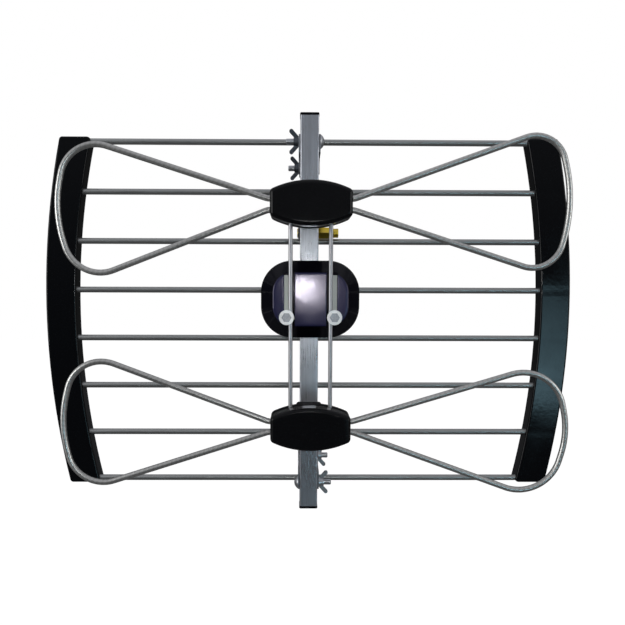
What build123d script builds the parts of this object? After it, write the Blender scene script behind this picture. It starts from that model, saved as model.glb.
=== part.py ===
from build123d import *
from math import asin, atan2, cos, degrees, radians, sin, sqrt
import os

# A two-bay bow tie television antenna for a mast, in millimetres.
# The origin lies on the mast's axis, level with the middle of the reflector. X runs to the viewer's right,
# the front looks along -Y, and +Z runs up the mast.

# Mast and boom
mast_diameter = 19.05
mast_gap = 1.0
boom_side = 19.05
boom_wall = 1.4
boom_corner = 1.5
boom_height = 413.0
boom_middle = -1.8
boom_y = -(mast_diameter / 2 + mast_gap + boom_side / 2)
boom_front = boom_y - boom_side / 2
boom_bore = boom_side - 2 * boom_wall

# End caps of the boom
cap_head = 2.6
cap_overhang = 0.3
cap_edge = 0.65
cap_plug_depth = 11.0
cap_wall = 1.6
cap_clearance = 0.1
tube_half = boom_height / 2 - cap_head

# Reflector rods, which pass through the rear part of the boom
rod_count = 8
rod_pitch = 50.8
rod_diameter = 4.8
rod_hole_clearance = 0.1
rod_setback = 5.4
rod_y = boom_y + rod_setback
rod_heights = [rod_pitch * (rod_count - 1) / 2 - rod_pitch * i for i in range(rod_count)]

# Side rails, moulded channels that are open at the back
reflector_half_width = 277.0
rail_radius = 850.0
rail_width = 31.5
rail_height = 364.0
rail_front_reach = 5.5
rail_depth = 16.5
rail_wall = 2.2
rail_edge_radius = 2.0
rail_corner_radius = 3.5
rail_rib_wall = 1.6
rail_rib_depth = 8.0
socket_depth = 12.0
socket_bottom = 0.3
socket_mouth = 5.0
socket_wall = 3.0
rail_front = rod_y - rail_front_reach
rail_back = rail_front + rail_depth

# Bow tie bays
bay_height = 103.0
bay_reach = 95.0
wire_diameter = 4.5
wire_y = rod_y - bay_reach
leg_half_gap = 5.1
leg_inner_end = 14.0
leg_bend_x = 39.5
leg_bend_radius = 14.0
loop_corner = (226.0, 66.4)
loop_corner_radius = 24.0
loop_nose = 240.5
loop_nose_radius = 150.0
slide_left = -4.0
slide_upper_right = 0.5
slide_lower_right = 6.0
loop_set = {
    "upper_left": (-1, 1, slide_left, -1.1),
    "upper_right": (1, 1, slide_upper_right, 1.1),
    "lower_left": (-1, -1, slide_left, 1.4),
    "lower_right": (1, -1, slide_lower_right, -1.1),
}

# Phasing rods, which join the two bays behind the bow tie wires
phasing_diameter = 3.2
phasing_x = 18.7
phasing_end_past_leg = 5.0
touch_gap = 0.05
phasing_y = wire_y + wire_diameter / 2 + phasing_diameter / 2 + touch_gap
phasing_half = bay_height + leg_half_gap + phasing_end_past_leg

# Insulator housings
insulator_half_width = 37.2
insulator_half_height = 22.0
insulator_bow_radius = 77.6
insulator_corner = 5.0
insulator_wall = 2.4
insulator_base_depth = 18.0
insulator_cover_depth = 17.0
insulator_front_radius = 4.0
insulator_back_radius = 2.5
lip_height = 2.0
lip_clearance = 0.15
wire_hole_clearance = 0.15
saddle_width = 5.0
saddle_past_wire = 1.0
rod_saddle_past = 0.6
insulator_back = wire_y + insulator_base_depth
insulator_floor = insulator_back - insulator_wall

# Clip plates that hold wire ends and phasing rod together
clip_inner = 12.5
clip_outer = 32.0
clip_half_height = 9.0
clip_thickness = 1.5
clip_corner = 2.0
clip_screw_x = 26.5
clip_screw_diameter = 3.5
clip_screw_depth = 15.0
clip_boss_diameter = 7.4
clip_front = wire_y - wire_diameter / 2 - touch_gap - clip_thickness

# Stems that carry the housings on the boom
stem_width = 26.0
stem_height = 24.0
stem_wall = 3.0
stem_corner = 2.5
stem_foot = 4.0
stem_boss_height = 9.0
stem_boss_diameter = 9.0
cheek_wall = 2.2
cheek_reach = 5.0
cheek_clearance = 0.1
stem_screw_pitch = 12.0
stem_screw_diameter = 3.9
stem_screw_length = 13.0
stem_screw_clearance = 0.3
screw_head_height = 2.4
screw_head_ratio = 1.95
slot_width = 1.2
slot_depth = 1.0
access_hole = 9.0

# Balun housing
balun_height = 16.5
balun_stem_height = 10.0
balun_width = 94.5
balun_tall = 73.6
balun_corner = 30.0
balun_seam_reach = 61.9
balun_side_depth = 9.0
balun_bevel_depth = 21.0
balun_bevel_inset = 12.3
balun_wall = 2.6
balun_flange = 4.0
balun_face_radius = 2.5
balun_lip = 2.0
channel_inner = 14.7
channel_outer = 25.0
channel_depth = 2.5
balun_seam = rod_y - balun_seam_reach
balun_face = balun_seam - balun_side_depth - balun_bevel_depth
channel_floor = balun_face + channel_depth

# Balun board, core and the screws that hold them
board_width = 56.0
board_tall = 44.0
board_thickness = 1.6
board_standoff = 8.0
board_corner = 3.0
board_screw_x = 22.0
board_screw_rise = 17.5
board_screw_drop = 8.0
board_boss_diameter = 7.0
board_screw_diameter = 3.0
board_screw_length = 8.0
core_width = 14.0
core_tall = 9.0
core_length = 13.0
core_hole = 3.6
core_above = 8.0
board_back = balun_seam - board_standoff
board_front = board_back - board_thickness

# Cover screws of the balun housing, driven from the back
cover_screw_x = 36.0
cover_screw_z = 17.0
cover_screw_diameter = 3.0
cover_screw_length = 13.0
cover_boss_diameter = 6.4

# Terminals, where the phasing rods meet the balun
terminal_z = -0.2
terminal_post_diameter = 7.0
terminal_screw_diameter = 4.0
terminal_screw_length = 13.0
terminal_hole_clearance = 0.2
washer_diameter = 14.0
washer_thickness = 1.2
screw_side_gap = 0.1
terminal_head_flats = 8.0
terminal_head_height = 3.0
terminal_slot = 1.3
terminal_x = phasing_x + phasing_diameter / 2 + terminal_screw_diameter / 2 + screw_side_gap
strap_width = 4.2
strap_thickness = 1.0
strap_top = 39.0
strap_shank_gap = 0.2

# Coaxial connector through the boom
connector_z = 84.6
connector_hex = 11.1
connector_hex_length = 12.2
connector_thread = 9.4
connector_barrel_length = 8.5
connector_bore = 6.2
connector_bore_depth = 7.5
connector_pin = 2.4
connector_hole_clearance = 0.3
connector_nut_flats = 11.1
connector_nut_thickness = 2.0
connector_end = 1.0

# Mast clamps, each a pair of formed steel jaws with two carriage bolts
jaw_sheet = 1.6
jaw_clearance = 0.05
jaw_front_y = boom_front + 0.6
jaw_ear_back_y = rod_y - rod_diameter / 2 - 0.4
jaw_step_y = -(mast_diameter / 2 + 0.8)
jaw_rear_y = 24.5
jaw_heel_y = -6.0
jaw_top = boom_height / 2 - 21.0
jaw_neck = boom_height / 2 - 33.2
jaw_shoulder = boom_height / 2 - 38.5
jaw_chin = boom_height / 2 - 40.5
jaw_bottom = boom_height / 2 - 56.5
jaw_lead_angle = 27.0
jaw_hook_angle = 65.0
jaw_open_angle = 22.0
jaw_edge_radius = 2.0
bolt_diameter = 5.9
bolt_hole = 6.4
front_bolt_length = 35.5
rear_bolt_length = 28.0
bolt_head_diameter = 14.6
bolt_head_height = 4.0
bolt_neck = 6.0
front_bolt_setback = 4.5
front_bolt_z = boom_height / 2 - 28.2
rear_bolt_y = 17.2
rear_bolt_z = boom_height / 2 - 47.7
front_bolt_y = boom_y - front_bolt_setback
jaw_inner = boom_side / 2 + jaw_clearance
jaw_outer = jaw_inner + jaw_sheet
hook_ear = mast_diameter / 2 * cos(radians(jaw_hook_angle)) + jaw_sheet
open_ear = mast_diameter / 2 * cos(radians(jaw_open_angle)) + jaw_sheet

# Wing nuts
wing_hub_base = 10.4
wing_hub_top = 8.4
wing_hub_height = 5.2
wing_span = 25.0
wing_rise = 9.6
wing_root_x = 4.5
wing_root_rise = 2.1
wing_root_radius = 2.0
wing_tip_radius = 2.1
wing_thickness = 2.6
nut_bore = 6.1


def along_x(diameter, start, end, y, z):
    return Pos((start + end) / 2, y, z) * Rot(0, 90, 0) * Cylinder(diameter / 2, abs(end - start))


def along_y(diameter, start, end, x, z):
    return Pos(x, (start + end) / 2, z) * Rot(90, 0, 0) * Cylinder(diameter / 2, abs(end - start))


def along_z(diameter, start, end, x, y):
    return Pos(x, y, (start + end) / 2) * Cylinder(diameter / 2, abs(end - start))


def slab(x_range, y_range, z_range):
    """A box given by its ends along each axis."""
    sizes = [abs(b - a) for a, b in (x_range, y_range, z_range)]
    middle = [(a + b) / 2 for a, b in (x_range, y_range, z_range)]
    return Pos(*middle) * Box(*sizes)


def prism(outline, front, back):
    """An upright outline, seen from the front, made solid from front to back."""
    return Pos(0, back, 0) * extrude(Plane.XZ * outline, back - front)


def hex_along_x(flats, start, end, y, z):
    outline = Plane.YZ * RegularPolygon(flats / 2, 6, major_radius=False)
    return Pos(start, y, z) * extrude(outline, end - start)


def mirrored(shape):
    return mirror(shape, about=Plane.YZ)


def pan_screw(diameter, length):
    """A slotted pan head screw that points along +Z, with its seat at the origin."""
    head = Pos(0, 0, -screw_head_height / 2) * Cylinder(diameter * screw_head_ratio / 2, screw_head_height)
    head = fillet(head.faces().sort_by(Axis.Z)[0].edges(), screw_head_height * 0.4)
    head -= Pos(0, 0, -screw_head_height + slot_depth / 2) * Box(diameter * 3, slot_width, slot_depth)
    shank = Pos(0, 0, length / 2) * Cylinder(diameter / 2, length)
    shank = chamfer(shank.faces().sort_by(Axis.Z)[-1].edges(), diameter * 0.2)
    return head + shank


def dome(diameter, height):
    """A round head whose top is part of a sphere, with its flat side at the origin."""
    edge = diameter / 2
    ball = (edge ** 2 + height ** 2) / (2 * height)
    half_turn = asin(edge / ball) / 2
    middle = (ball * sin(half_turn), height - ball + ball * cos(half_turn))
    outline = Line((0, 0), (edge, 0)) + ThreePointArc((edge, 0), middle, (0, height)) + Line((0, height), (0, 0))
    return revolve(Plane.XZ * make_face(outline), Axis.Z)


def boom_tube():
    """Square aluminium tube with every hole that the other pieces pass through."""
    outer = RectangleRounded(boom_side, boom_side, boom_corner)
    inner = Rectangle(boom_bore, boom_bore)
    tube = Pos(0, boom_y, boom_middle - tube_half) * extrude(outer - inner, 2 * tube_half)
    half = boom_side
    for z in rod_heights:
        tube -= along_x(rod_diameter + rod_hole_clearance, -half, half, rod_y, z)
    for z in (boom_middle + front_bolt_z, boom_middle - front_bolt_z):
        tube -= along_x(bolt_hole, -half, half, front_bolt_y, z)
    tube -= along_x(connector_thread + connector_hole_clearance, -half, half, boom_y, connector_z)
    for z in stem_screw_heights():
        tube -= along_y(stem_screw_diameter + stem_screw_clearance, boom_front - 1, boom_y, 0, z)
        tube -= along_y(access_hole, boom_y, boom_y + boom_side, 0, z)
    return tube


def stem_screw_heights():
    centres = (bay_height, -bay_height, balun_stem_height)
    return [z + side * stem_screw_pitch / 2 for z in centres for side in (1, -1)]


def boom_cap():
    """Plastic plug for the top end: a flush head with a hollow square plug below."""
    head_side = boom_side + 2 * cap_overhang
    head = Pos(0, boom_y, tube_half) * extrude(RectangleRounded(head_side, head_side, boom_corner), cap_head)
    head = chamfer(head.faces().sort_by(Axis.Z)[-1].edges(), cap_edge)
    plug_side = boom_bore - 2 * cap_clearance
    ring = Rectangle(plug_side, plug_side) - Rectangle(plug_side - 2 * cap_wall, plug_side - 2 * cap_wall)
    plug = Pos(0, boom_y, tube_half - cap_plug_depth) * extrude(ring, cap_plug_depth)
    return head + plug


def rail_inner_x(z):
    """Distance of a rail's inner side from the middle, at one height."""
    return reflector_half_width - rail_radius + sqrt((rail_radius - rail_width) ** 2 - z ** 2)


def rail_outline(inset):
    """Curved strip between two arcs about one centre, with level ends."""
    centre = reflector_half_width - rail_radius
    outer = rail_radius - inset
    inner = rail_radius - rail_width + inset
    top = rail_height / 2 - inset
    outer_x = centre + sqrt(outer ** 2 - top ** 2)
    inner_x = centre + sqrt(inner ** 2 - top ** 2)
    edges = Line((inner_x, top), (outer_x, top))
    edges += ThreePointArc((outer_x, top), (centre + outer, 0), (outer_x, -top))
    edges += Line((outer_x, -top), (inner_x, -top))
    edges += ThreePointArc((inner_x, -top), (centre + inner, 0), (inner_x, top))
    outline = make_face(edges)
    return fillet(outline.vertices(), max(rail_corner_radius - inset, rail_edge_radius / 2))


def side_rail():
    """The right rail: a curved channel with a ribbed socket for each reflector rod."""
    body = prism(rail_outline(0), rail_front, rail_back)
    body = fillet(body.faces().sort_by(Axis.Y)[0].edges(), rail_edge_radius)
    hollow = prism(rail_outline(rail_wall), rail_front + rail_wall, rail_back + 1)
    stiffening = None
    for z in rod_heights:
        inner_x = rail_inner_x(z)
        half = rod_diameter / 2 + socket_wall
        boss = slab((inner_x, inner_x + socket_depth + socket_wall), (rail_front, rod_y + half), (z - half, z + half))
        rib_heights = (z - rail_rib_wall / 2, z + rail_rib_wall / 2)
        rib = slab((inner_x, inner_x + rail_width), (rail_front, rod_y + half), rib_heights)
        stiffening = boss + rib if stiffening is None else stiffening + boss + rib
    for i in range(rod_count - 1):
        z = (rod_heights[i] + rod_heights[i + 1]) / 2
        inner_x = rail_inner_x(z)
        stiffening += slab(
            (inner_x, inner_x + rail_width),
            (rail_front, rail_front + rail_rib_depth),
            (z - rail_rib_wall / 2, z + rail_rib_wall / 2),
        )
    body = (body - hollow) + (stiffening & hollow)
    for z in rod_heights:
        inner_x = rail_inner_x(z)
        socket_end = inner_x + socket_depth + socket_bottom
        body -= along_x(rod_diameter + rod_hole_clearance, inner_x - socket_mouth, socket_end, rod_y, z)
    return body


def reflector_rod(z):
    half = rail_inner_x(z) + socket_depth
    return chamfered_rod(along_x(rod_diameter, -half, half, rod_y, z), Axis.X, rod_diameter * 0.1)


def chamfered_rod(rod, axis, amount):
    ends = rod.faces().sort_by(axis)
    return chamfer(ends[0].edges() + ends[-1].edges(), amount)


def bowtie_loop(side, bay, slide, lift):
    """One closed-nose wire. Its two ends lie level in the insulator, and the rest is
    slid outward and lifted about the bay's centre, as it was bent."""
    turn = radians(lift)

    def swung(x, z):
        x = x + slide
        return (x * cos(turn) - z * sin(turn), x * sin(turn) + z * cos(turn))

    corner_x, corner_z = loop_corner
    points = [(leg_inner_end, leg_half_gap), (leg_bend_x, leg_half_gap)]
    points += [swung(corner_x, corner_z), swung(loop_nose, 0), swung(corner_x, -corner_z)]
    points += [(leg_bend_x, -leg_half_gap), (leg_inner_end, -leg_half_gap)]
    radii = [leg_bend_radius, loop_corner_radius, loop_nose_radius, loop_corner_radius, leg_bend_radius]
    centre = [Vector(x, wire_y, bay * bay_height + z) for x, z in points]
    path = FilletPolyline(*centre, radius=radii)
    section = Plane(path @ 0, z_dir=path % 0) * Circle(wire_diameter / 2)
    loop = sweep(section, path=path)
    return loop if side > 0 else mirrored(loop)


def phasing_rod():
    rod = along_z(phasing_diameter, -phasing_half, phasing_half, phasing_x, phasing_y)
    return chamfered_rod(rod, Axis.Z, phasing_diameter * 0.1)


def barrel(inset):
    """Insulator outline: straight sides, bowed top and bottom, rounded corners."""
    width = insulator_half_width - inset
    height = insulator_half_height - inset
    bow = insulator_bow_radius - inset
    side = height - bow + sqrt(bow ** 2 - width ** 2)
    edges = Line((width, -side), (width, side))
    edges += ThreePointArc((width, side), (0, height), (-width, side))
    edges += Line((-width, side), (-width, -side))
    edges += ThreePointArc((-width, -side), (0, -height), (width, -side))
    outline = make_face(edges)
    return fillet(outline.vertices(), insulator_corner - inset)


def wire_channels():
    """The room that both bow tie wires take where they enter an insulator."""
    span = insulator_half_width + 2
    size = wire_diameter + 2 * wire_hole_clearance
    return [along_x(size, -span, span, wire_y, z) for z in (leg_half_gap, -leg_half_gap)]


def stem(back_of_housing, centre_z):
    """Hollow stem with a screwed foot and two cheeks that hug the boom."""
    outer = Pos(0, centre_z) * RectangleRounded(stem_width, stem_height, stem_corner)
    inner = Pos(0, centre_z) * Rectangle(stem_width - 2 * stem_wall, stem_height - 2 * stem_wall)
    body = prism(outer, back_of_housing - stem_wall / 2, boom_front)
    body -= prism(inner, back_of_housing - stem_wall, boom_front - stem_foot)
    cheek_inner = boom_side / 2 + cheek_clearance
    for side in (1, -1):
        body += slab(
            (side * cheek_inner, side * (cheek_inner + cheek_wall)),
            (boom_front - 1, boom_front + cheek_reach),
            (centre_z - stem_height / 2 + stem_corner, centre_z + stem_height / 2 - stem_corner),
        )
        z = centre_z + side * stem_screw_pitch / 2
        body += along_y(stem_boss_diameter, boom_front - stem_boss_height, boom_front - 1, 0, z)
        body -= along_y(stem_screw_diameter + touch_gap, boom_front - stem_boss_height - 1, boom_front + 1, 0, z)
    return body


def insulator_base():
    """Rear half with its stem, the saddles for wires and rods, and the clip bosses."""
    shell = prism(barrel(0), wire_y, insulator_back)
    shell = fillet(shell.faces().sort_by(Axis.Y)[-1].edges(), insulator_back_radius)
    shell -= prism(barrel(insulator_wall), wire_y - 1, insulator_floor)
    lip = barrel(insulator_wall / 2) - barrel(insulator_wall)
    shell += prism(lip, wire_y - lip_height, wire_y + 1)
    shell += stem(insulator_back, 0)
    for side in (1, -1):
        saddle_x = side * (insulator_half_width - insulator_wall - saddle_width / 2)
        half_tall = leg_half_gap + wire_diameter / 2 + saddle_past_wire
        shell += slab(
            (saddle_x - saddle_width / 2 - 1, saddle_x + saddle_width / 2 + 1),
            (wire_y, insulator_floor),
            (-half_tall, half_tall),
        )
        rod_rear = phasing_y + phasing_diameter / 2 + touch_gap
        half = phasing_diameter / 2 + rod_saddle_past
        x = side * phasing_x
        shell += slab((x - half, x + half), (rod_rear, insulator_floor), (-half_tall, half_tall))
        shell += along_y(clip_boss_diameter, wire_y + wire_diameter / 2 + 0.15, insulator_floor, side * clip_screw_x, 0)
        hole_end = wire_y + clip_screw_depth
        shell -= along_y(clip_screw_diameter + touch_gap, wire_y - 1, hole_end, side * clip_screw_x, 0)
        size = phasing_diameter + 2 * wire_hole_clearance
        shell -= along_z(size, -2 * insulator_half_height, phasing_half - bay_height + 1, x, phasing_y)
    for channel in wire_channels():
        shell -= channel
    return shell


def insulator_cover():
    """Front half: a domed shell with a filleted face, which snaps over the lip."""
    front = wire_y - insulator_cover_depth
    shell = prism(barrel(0), front, wire_y)
    shell = fillet(shell.faces().sort_by(Axis.Y)[0].edges(), insulator_front_radius)
    shell -= prism(barrel(insulator_wall), front + insulator_wall, wire_y + 1)
    shell -= prism(barrel(insulator_wall / 2 - lip_clearance), wire_y - lip_height - lip_clearance, wire_y + 1)
    for channel in wire_channels():
        shell -= channel
    return shell


def element_clip():
    """Flat plate on the right side that presses two wire ends onto the phasing rod."""
    width = clip_outer - clip_inner
    outline = Pos((clip_outer + clip_inner) / 2, 0) * RectangleRounded(width, 2 * clip_half_height, clip_corner)
    plate = prism(outline, clip_front, clip_front + clip_thickness)
    return plate - along_y(clip_screw_diameter + stem_screw_clearance, clip_front - 1, wire_y, clip_screw_x, 0)


def facing_back(screw, x, y, z):
    """Place a screw so that it is driven from the front towards the back."""
    return Pos(x, y, z) * Rot(-90, 0, 0) * screw


def facing_front(screw, x, y, z):
    """Place a screw so that it is driven from the back towards the front."""
    return Pos(x, y, z) * Rot(90, 0, 0) * screw


def element_clip_screws():
    length = wire_y + clip_screw_depth - 1 - clip_front
    screw = pan_screw(clip_screw_diameter, length)
    return [
        facing_back(screw, side * clip_screw_x, clip_front - touch_gap, bay * bay_height)
        for side in (-1, 1)
        for bay in (-1, 1)
    ]


def stem_screws():
    screw = pan_screw(stem_screw_diameter, stem_screw_length)
    seat = boom_front + boom_wall + touch_gap
    return [facing_front(screw, 0, seat, z) for z in stem_screw_heights()]


def balun_outline(inset):
    return Pos(0, balun_height) * RectangleRounded(
        balun_width - 2 * inset, balun_tall - 2 * inset, balun_corner - inset
    )


def balun_form(inset, face):
    """Straight rim below a bevel that leads in to the flat face."""
    rim_front = balun_seam - balun_side_depth
    rim = prism(balun_outline(inset), rim_front, balun_seam)
    slope = degrees(atan2(balun_bevel_inset, balun_bevel_depth))
    bevel = extrude(Plane.XZ * balun_outline(inset), rim_front - face, taper=slope)
    return rim + Pos(0, rim_front, 0) * bevel


def balun_cover():
    """Bevelled cover with an upright channel for each phasing rod, and holes in the
    channels' floors for the terminal posts and the strap ends."""
    form = balun_form(0, balun_face)
    form = fillet(form.faces().sort_by(Axis.Y)[0].edges(), balun_face_radius)
    shell = form - balun_form(balun_wall, balun_face + balun_wall)
    for side in (1, -1):
        thick = slab(
            (side * (channel_inner - balun_wall), side * (channel_outer + balun_wall)),
            (balun_face, channel_floor + balun_wall),
            (balun_height - balun_tall, balun_height + balun_tall),
        )
        channel = slab(
            (side * channel_inner, side * channel_outer),
            (balun_face - 1, channel_floor),
            (balun_height - balun_tall, balun_height + balun_tall),
        )
        shell += thick & form
        shell -= channel
    shell -= prism(balun_outline(balun_wall / 2 - lip_clearance), balun_seam - balun_lip - lip_clearance, balun_seam + 1)
    for side in (1, -1):
        for z_side in (1, -1):
            x = side * cover_screw_x
            z = balun_height + z_side * cover_screw_z
            boss = along_y(cover_boss_diameter, balun_face, balun_seam - balun_lip, x, z)
            shell += boss & balun_form(balun_wall / 2, balun_face + balun_wall / 2)
            shell -= along_y(cover_screw_diameter + touch_gap, balun_seam - cover_screw_length, balun_seam, x, z)
        x = side * terminal_x
        hole = terminal_post_diameter + 2 * terminal_hole_clearance
        inside = channel_floor + balun_wall + 1
        shell -= along_y(hole, balun_face, inside, x, terminal_z)
        half = strap_width / 2 + lip_clearance
        slot = (strap_top - strap_thickness - lip_clearance, strap_top + lip_clearance)
        shell -= slab((x - half, x + half), (balun_face, inside), slot)
    return shell


def balun_base():
    """Flange that closes the housing at the back, with its stem and the board's bosses."""
    body = prism(balun_outline(0), balun_seam, balun_seam + balun_flange)
    body = fillet(body.faces().sort_by(Axis.Y)[-1].edges(), balun_wall / 2)
    lip = balun_outline(balun_wall / 2) - balun_outline(balun_wall)
    body += prism(lip, balun_seam - balun_lip, balun_seam + 1)
    body += stem(balun_seam + balun_flange, balun_stem_height)
    for side in (1, -1):
        for z_side in (1, -1):
            x = side * cover_screw_x
            z = balun_height + z_side * cover_screw_z
            hole = cover_screw_diameter + stem_screw_clearance
            body -= along_y(hole, balun_seam - balun_lip - 1, balun_seam + balun_flange + 1, x, z)
    for x, z in board_screw_places():
        body += along_y(board_boss_diameter, board_back + touch_gap, balun_seam + 1, x, z)
        body -= along_y(board_screw_diameter + touch_gap, board_back - 1, board_back + board_screw_length, x, z)
    opening = Pos(0, balun_stem_height) * Rectangle(stem_width - 2 * stem_wall, stem_height - 2 * stem_wall)
    return body - prism(opening, balun_seam - 1, balun_seam + balun_flange)


def board_screw_places():
    heights = (balun_height + board_screw_rise, balun_height - board_screw_drop)
    return [(side * board_screw_x, z) for side in (1, -1) for z in heights]


def balun_board():
    """Circuit board on four bosses, which carries the core and the terminal posts."""
    outline = Pos(0, balun_height) * RectangleRounded(board_width, board_tall, board_corner)
    board = prism(outline, board_front, board_back)
    for x, z in board_screw_places():
        board -= along_y(board_screw_diameter + stem_screw_clearance, board_front - 1, board_back + 1, x, z)
    return board


def board_screws():
    screw = pan_screw(board_screw_diameter, board_thickness + board_screw_length - 1)
    return [facing_back(screw, x, board_front - touch_gap, z) for x, z in board_screw_places()]


def balun_core():
    """Ferrite block with two through holes for the windings, fixed flat on the board."""
    z = balun_height + core_above
    outline = Pos(0, z) * RectangleRounded(core_width, core_length, core_hole / 4)
    block = prism(outline, board_front - core_tall - touch_gap, board_front - touch_gap)
    middle = board_front - core_tall / 2
    for side in (1, -1):
        block -= along_z(core_hole, z - core_length, z + core_length, side * core_width / 4, middle)
    return block


def balun_cover_screws():
    screw = pan_screw(cover_screw_diameter, cover_screw_length + balun_flange - 1)
    seat = balun_seam + balun_flange + touch_gap
    return [
        facing_front(screw, side * cover_screw_x, seat, balun_height + z_side * cover_screw_z)
        for side in (1, -1)
        for z_side in (1, -1)
    ]


def terminal_post():
    """Brass post on the right side, from the board to the back of the phasing rod."""
    top = phasing_y + phasing_diameter / 2 + touch_gap
    post = along_y(terminal_post_diameter, top, board_front - touch_gap, terminal_x, terminal_z)
    bore_end = top + terminal_screw_length
    return post - along_y(terminal_screw_diameter + 2 * touch_gap, top - 1, bore_end, terminal_x, terminal_z)


def terminal_strap():
    """Flat strap on the right channel's floor, from the post's top to a tail that dips in."""
    back = phasing_y + phasing_diameter / 2 + touch_gap
    front = back - strap_thickness
    width = (terminal_x - strap_width / 2, terminal_x + strap_width / 2)
    start = terminal_z + terminal_screw_diameter / 2 + strap_shank_gap
    flat = slab(width, (front, back), (start, strap_top))
    tail = slab(width, (front, channel_floor + balun_wall), (strap_top - strap_thickness, strap_top))
    return flat + tail


def washer_front():
    return phasing_y - phasing_diameter / 2 - touch_gap - washer_thickness


def terminal_washers():
    outline = Circle(washer_diameter / 2) - Circle(terminal_screw_diameter / 2 + terminal_hole_clearance)
    back = washer_front() + washer_thickness
    return [prism(Pos(side * terminal_x, terminal_z) * outline, washer_front(), back) for side in (-1, 1)]


def terminal_screw():
    """Hexagon head screw with a cross slot, which clamps the right phasing rod."""
    seat = washer_front() - touch_gap
    head = RegularPolygon(terminal_head_flats / 2, 6, major_radius=False)
    head = prism(Pos(terminal_x, terminal_z) * head, seat - terminal_head_height, seat)
    for turn in (0, 90):
        slot = Rot(0, turn, 0) * Box(terminal_head_flats * 0.7, slot_depth * 2, terminal_slot)
        head -= Pos(terminal_x, seat - terminal_head_height, terminal_z) * slot
    end = seat + terminal_screw_length
    return head + along_y(terminal_screw_diameter, seat, end, terminal_x, terminal_z)


def connector_body():
    """Coaxial socket: hexagon against the boom, open barrel, and a thread through it."""
    seat = boom_side / 2 + touch_gap
    hex_end = seat + connector_hex_length
    barrel_end = hex_end + connector_barrel_length
    back = -(boom_side / 2 + connector_nut_thickness + connector_end)
    body = hex_along_x(connector_hex, seat, hex_end, boom_y, connector_z)
    body += along_x(connector_thread, back, barrel_end, boom_y, connector_z)
    body -= along_x(connector_bore, barrel_end - connector_bore_depth, barrel_end + 1, boom_y, connector_z)
    return body + along_x(connector_pin, barrel_end - connector_bore_depth - 1, barrel_end - 2, boom_y, connector_z)


def connector_nut():
    seat = -(boom_side / 2 + touch_gap)
    nut = hex_along_x(connector_nut_flats, seat - connector_nut_thickness, seat, boom_y, connector_z)
    bore = connector_thread + connector_hole_clearance
    return nut - along_x(bore, seat - connector_nut_thickness - 1, seat + 1, boom_y, connector_z)


def on_circle(radius, angle):
    return (radius * cos(radians(angle)), radius * sin(radians(angle)))


def jaw_section(wrap):
    """Sheet section, seen from above: a flat ear beside the boom, a step in behind it,
    the round jaw for the mast, and a rear ear where the jaw has turned by wrap degrees."""
    inner = mast_diameter / 2
    outer = inner + jaw_sheet
    ear_x = inner * cos(radians(wrap))
    ear_y = inner * sin(radians(wrap))
    back_x = ear_x + jaw_sheet
    back_y = sqrt(outer ** 2 - back_x ** 2)
    lead_in, lead_out = on_circle(inner, -jaw_lead_angle), on_circle(outer, -jaw_lead_angle)
    edges = Line((jaw_inner, jaw_front_y), (jaw_inner, jaw_step_y))
    edges += Line((jaw_inner, jaw_step_y), lead_in)
    edges += ThreePointArc(lead_in, (inner, 0), (ear_x, ear_y))
    edges += Line((ear_x, ear_y), (ear_x, jaw_rear_y))
    edges += Line((ear_x, jaw_rear_y), (back_x, jaw_rear_y))
    edges += Line((back_x, jaw_rear_y), (back_x, back_y))
    edges += ThreePointArc((back_x, back_y), (outer, 0), lead_out)
    edges += Line(lead_out, (jaw_outer, jaw_step_y))
    edges += Line((jaw_outer, jaw_step_y), (jaw_outer, jaw_front_y))
    edges += Line((jaw_outer, jaw_front_y), (jaw_inner, jaw_front_y))
    return make_face(edges)


def clamp_jaw(wrap, square_holes):
    """Right-hand jaw of the upper clamp, cut to its side outline and drilled."""
    sheet = Pos(0, 0, jaw_bottom) * extrude(jaw_section(wrap), jaw_top - jaw_bottom)
    corners = [
        (jaw_front_y, jaw_chin), (jaw_front_y, jaw_top), (jaw_ear_back_y, jaw_top),
        (jaw_ear_back_y, jaw_neck), (jaw_heel_y, jaw_neck),
        (jaw_rear_y, jaw_shoulder), (jaw_rear_y, jaw_bottom),
        (jaw_heel_y, jaw_bottom), (jaw_step_y, jaw_chin),
    ]
    outline = make_face(Polyline(*corners, close=True))
    outline = fillet(outline.vertices(), jaw_edge_radius)
    jaw = sheet & extrude(Plane.YZ * outline, mast_diameter)
    for y, z in ((front_bolt_y, front_bolt_z), (rear_bolt_y, rear_bolt_z)):
        if square_holes:
            jaw -= Pos(mast_diameter / 2, y, z) * Box(mast_diameter, bolt_hole, bolt_hole)
        else:
            jaw -= along_x(bolt_hole, 0, mast_diameter, y, z)
    return jaw


def carriage_bolt(ear, length, y, z):
    """Domed bolt with a square neck, whose head lies on the right jaw's ear."""
    seat = ear + touch_gap
    head = Pos(seat, y, z) * Rot(0, 90, 0) * dome(bolt_head_diameter, bolt_head_height)
    square = (-bolt_neck / 2, bolt_neck / 2)
    neck = Pos(0, y, z) * slab((seat - jaw_sheet, seat + bolt_head_height / 4), square, square)
    shank = along_x(bolt_diameter, seat - length, seat, y, z)
    shank = chamfer(shank.faces().sort_by(Axis.X)[0].edges(), bolt_diameter * 0.12)
    return head + neck + shank


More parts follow.
